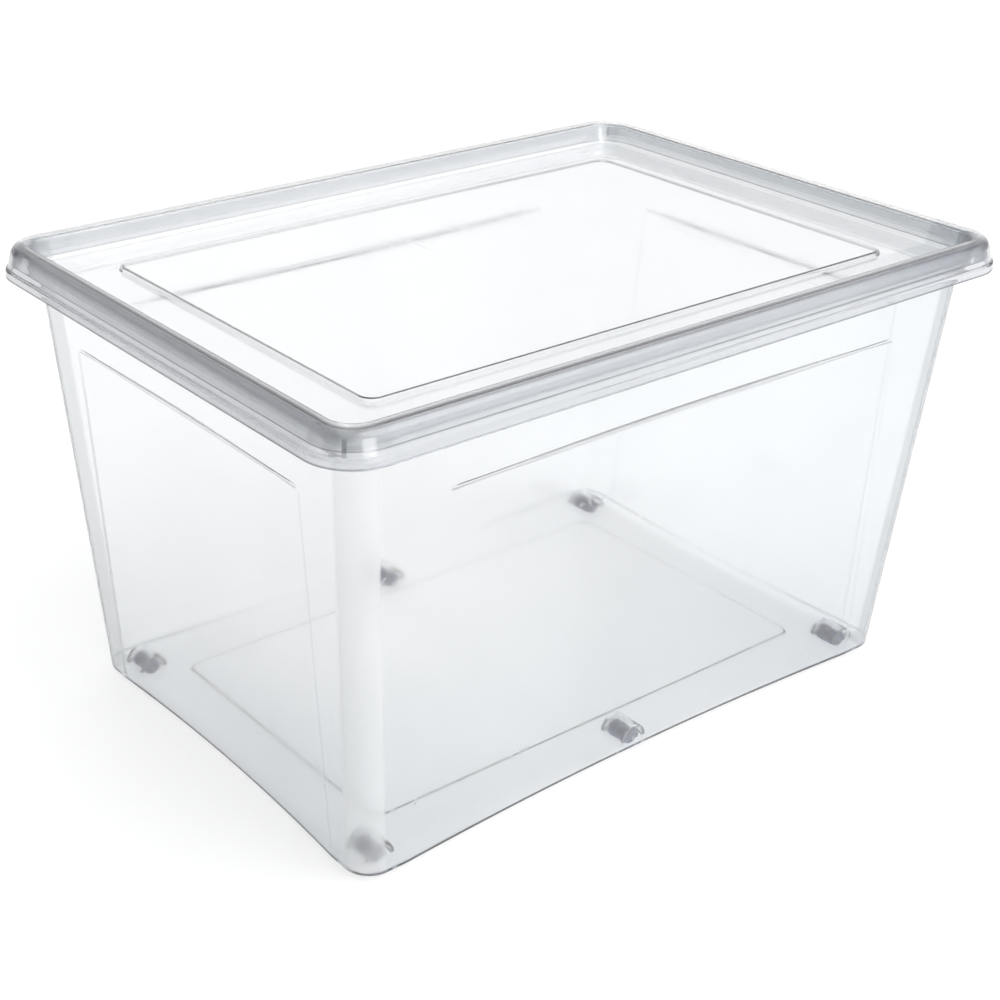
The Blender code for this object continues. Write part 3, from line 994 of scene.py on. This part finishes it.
def roller_plastic():
    m = Nodes("roller_plastic")
    tone = m.noise(180.0, 4.0, 0.6)
    colour = m.ramp(tone, "Fac", [(0.3, (0.007, 0.012, 0.1, 1.0)), (0.75, (0.018, 0.03, 0.22, 1.0))])
    m.link(colour, "Color", m.shader, "Base Color")
    scuff = m.noise(420.0, 4.0, 0.6, (1.0, 0.3, 1.0))
    rough = m.spread(scuff, "Fac", 0.32, 0.6)
    m.link(rough, "Result", m.shader, "Roughness")
    m.shader.inputs["Specular IOR Level"].default_value = 0.3
    m.bumps([(scuff, "Fac", 0.2, 0.0002)])
    return m.material


def pin_steel():
    m = Nodes("axle_steel")
    m.shader.inputs["Metallic"].default_value = 1.0
    tone = m.noise(300.0, 3.0, 0.6, (1.0, 0.05, 1.0))
    colour = m.ramp(tone, "Fac", [(0.3, (0.42, 0.42, 0.44, 1.0)), (0.7, (0.62, 0.62, 0.64, 1.0))])
    m.link(colour, "Color", m.shader, "Base Color")
    rough = m.spread(tone, "Fac", 0.25, 0.45)
    m.link(rough, "Result", m.shader, "Roughness")
    m.bumps([(tone, "Fac", 0.15, 0.0001)])
    return m.material


FLOOR_GLOW = 0.7


def floor_material():
    m = Nodes("studio_floor")
    tone = m.noise(3.0, 2.0, 0.5)
    colour = m.ramp(tone, "Fac", [(0.3, (0.34, 0.342, 0.344, 1.0)), (0.7, (0.36, 0.362, 0.364, 1.0))])
    m.link(colour, "Color", m.shader, "Base Color")
    m.shader.inputs["Roughness"].default_value = 0.7
    m.shader.inputs["Specular IOR Level"].default_value = 0.1
    m.shader.inputs["Emission Color"].default_value = (1.0, 1.0, 1.0, 1.0)
    m.shader.inputs["Emission Strength"].default_value = FLOOR_GLOW
    return m.material


# ---------------------------------------------------------------- studio


def make_floor():
    mesh_bm = bmesh.new()
    bmesh.ops.create_grid(mesh_bm, x_segments=2, y_segments=2, size=6.0)
    floor = new_object("studio_floor", mesh_bm)
    floor.data.materials.append(floor_material())


# Soft patches of light round the studio: azimuth from +Y towards +X, elevation, inner and outer
# half angle, and the radiance each adds to the plain surround
SURROUND = 0.39
PATCHES = (
    (38.0, 28.0, 24.0, 44.0, 0.64),
    (0.0, 90.0, 26.0, 46.0, 0.8),
    (150.0, 50.0, 16.0, 34.0, 1.6),
    (170.0, 16.0, 30.0, 66.0, 1.3),
    (182.0, 6.0, 8.0, 20.0, 4.2),
    (-45.0, -2.0, 12.0, 32.0, 0.5),
    (-50.0, 36.0, 18.0, 46.0, -0.33),
    (-95.0, 12.0, 24.0, 60.0, -0.33),
)


def direction(azimuth, elevation):
    azimuth, elevation = math.radians(azimuth), math.radians(elevation)
    return (
        math.sin(azimuth) * math.cos(elevation),
        math.cos(azimuth) * math.cos(elevation),
        math.sin(elevation),
    )


def make_world():
    world = bpy.data.worlds.new("studio")
    world.use_nodes = True
    bpy.context.scene.world = world
    tree = world.node_tree
    tree.nodes.clear()
    out = tree.nodes.new("ShaderNodeOutputWorld")
    background = tree.nodes.new("ShaderNodeBackground")
    coords = tree.nodes.new("ShaderNodeTexCoord")
    level = tree.nodes.new("ShaderNodeValue")
    level.outputs[0].default_value = SURROUND
    total = level.outputs[0]
    for azimuth, elevation, inner, outer, gain in PATCHES:
        dot = tree.nodes.new("ShaderNodeVectorMath")
        dot.operation = "DOT_PRODUCT"
        dot.inputs[1].default_value = direction(azimuth, elevation)
        tree.links.new(coords.outputs["Generated"], dot.inputs[0])
        patch = tree.nodes.new("ShaderNodeMapRange")
        patch.interpolation_type = "SMOOTHSTEP"
        patch.inputs["From Min"].default_value = math.cos(math.radians(outer))
        patch.inputs["From Max"].default_value = math.cos(math.radians(inner))
        patch.inputs["To Max"].default_value = gain
        tree.links.new(dot.outputs["Value"], patch.inputs["Value"])
        add = tree.nodes.new("ShaderNodeMath")
        add.operation = "ADD"
        tree.links.new(total, add.inputs[0])
        tree.links.new(patch.outputs["Result"], add.inputs[1])
        total = add.outputs[0]
    tree.links.new(total, background.inputs["Color"])
    # The camera itself sees a plain white backdrop beyond the floor
    backdrop = tree.nodes.new("ShaderNodeBackground")
    backdrop.inputs["Color"].default_value = (1.0, 1.0, 1.0, 1.0)
    rays = tree.nodes.new("ShaderNodeLightPath")
    mix = tree.nodes.new("ShaderNodeMixShader")
    tree.links.new(rays.outputs["Is Camera Ray"], mix.inputs[0])
    tree.links.new(background.outputs[0], mix.inputs[1])
    tree.links.new(backdrop.outputs[0], mix.inputs[2])
    tree.links.new(mix.outputs[0], out.inputs["Surface"])


# ---------------------------------------------------------------- build

make_floor()
make_world()
shell = build_bin()
shell.data.materials.clear()
shell.data.materials.append(body_plastic())
lid = build_lid()
lid.data.materials.append(lid_plastic())
build_rollers(roller_plastic(), pin_steel())

scene = bpy.context.scene
scene.view_settings.view_transform = "Standard"
scene.cycles.max_bounces = 32
scene.cycles.transmission_bounces = 32
scene.cycles.transparent_max_bounces = 32
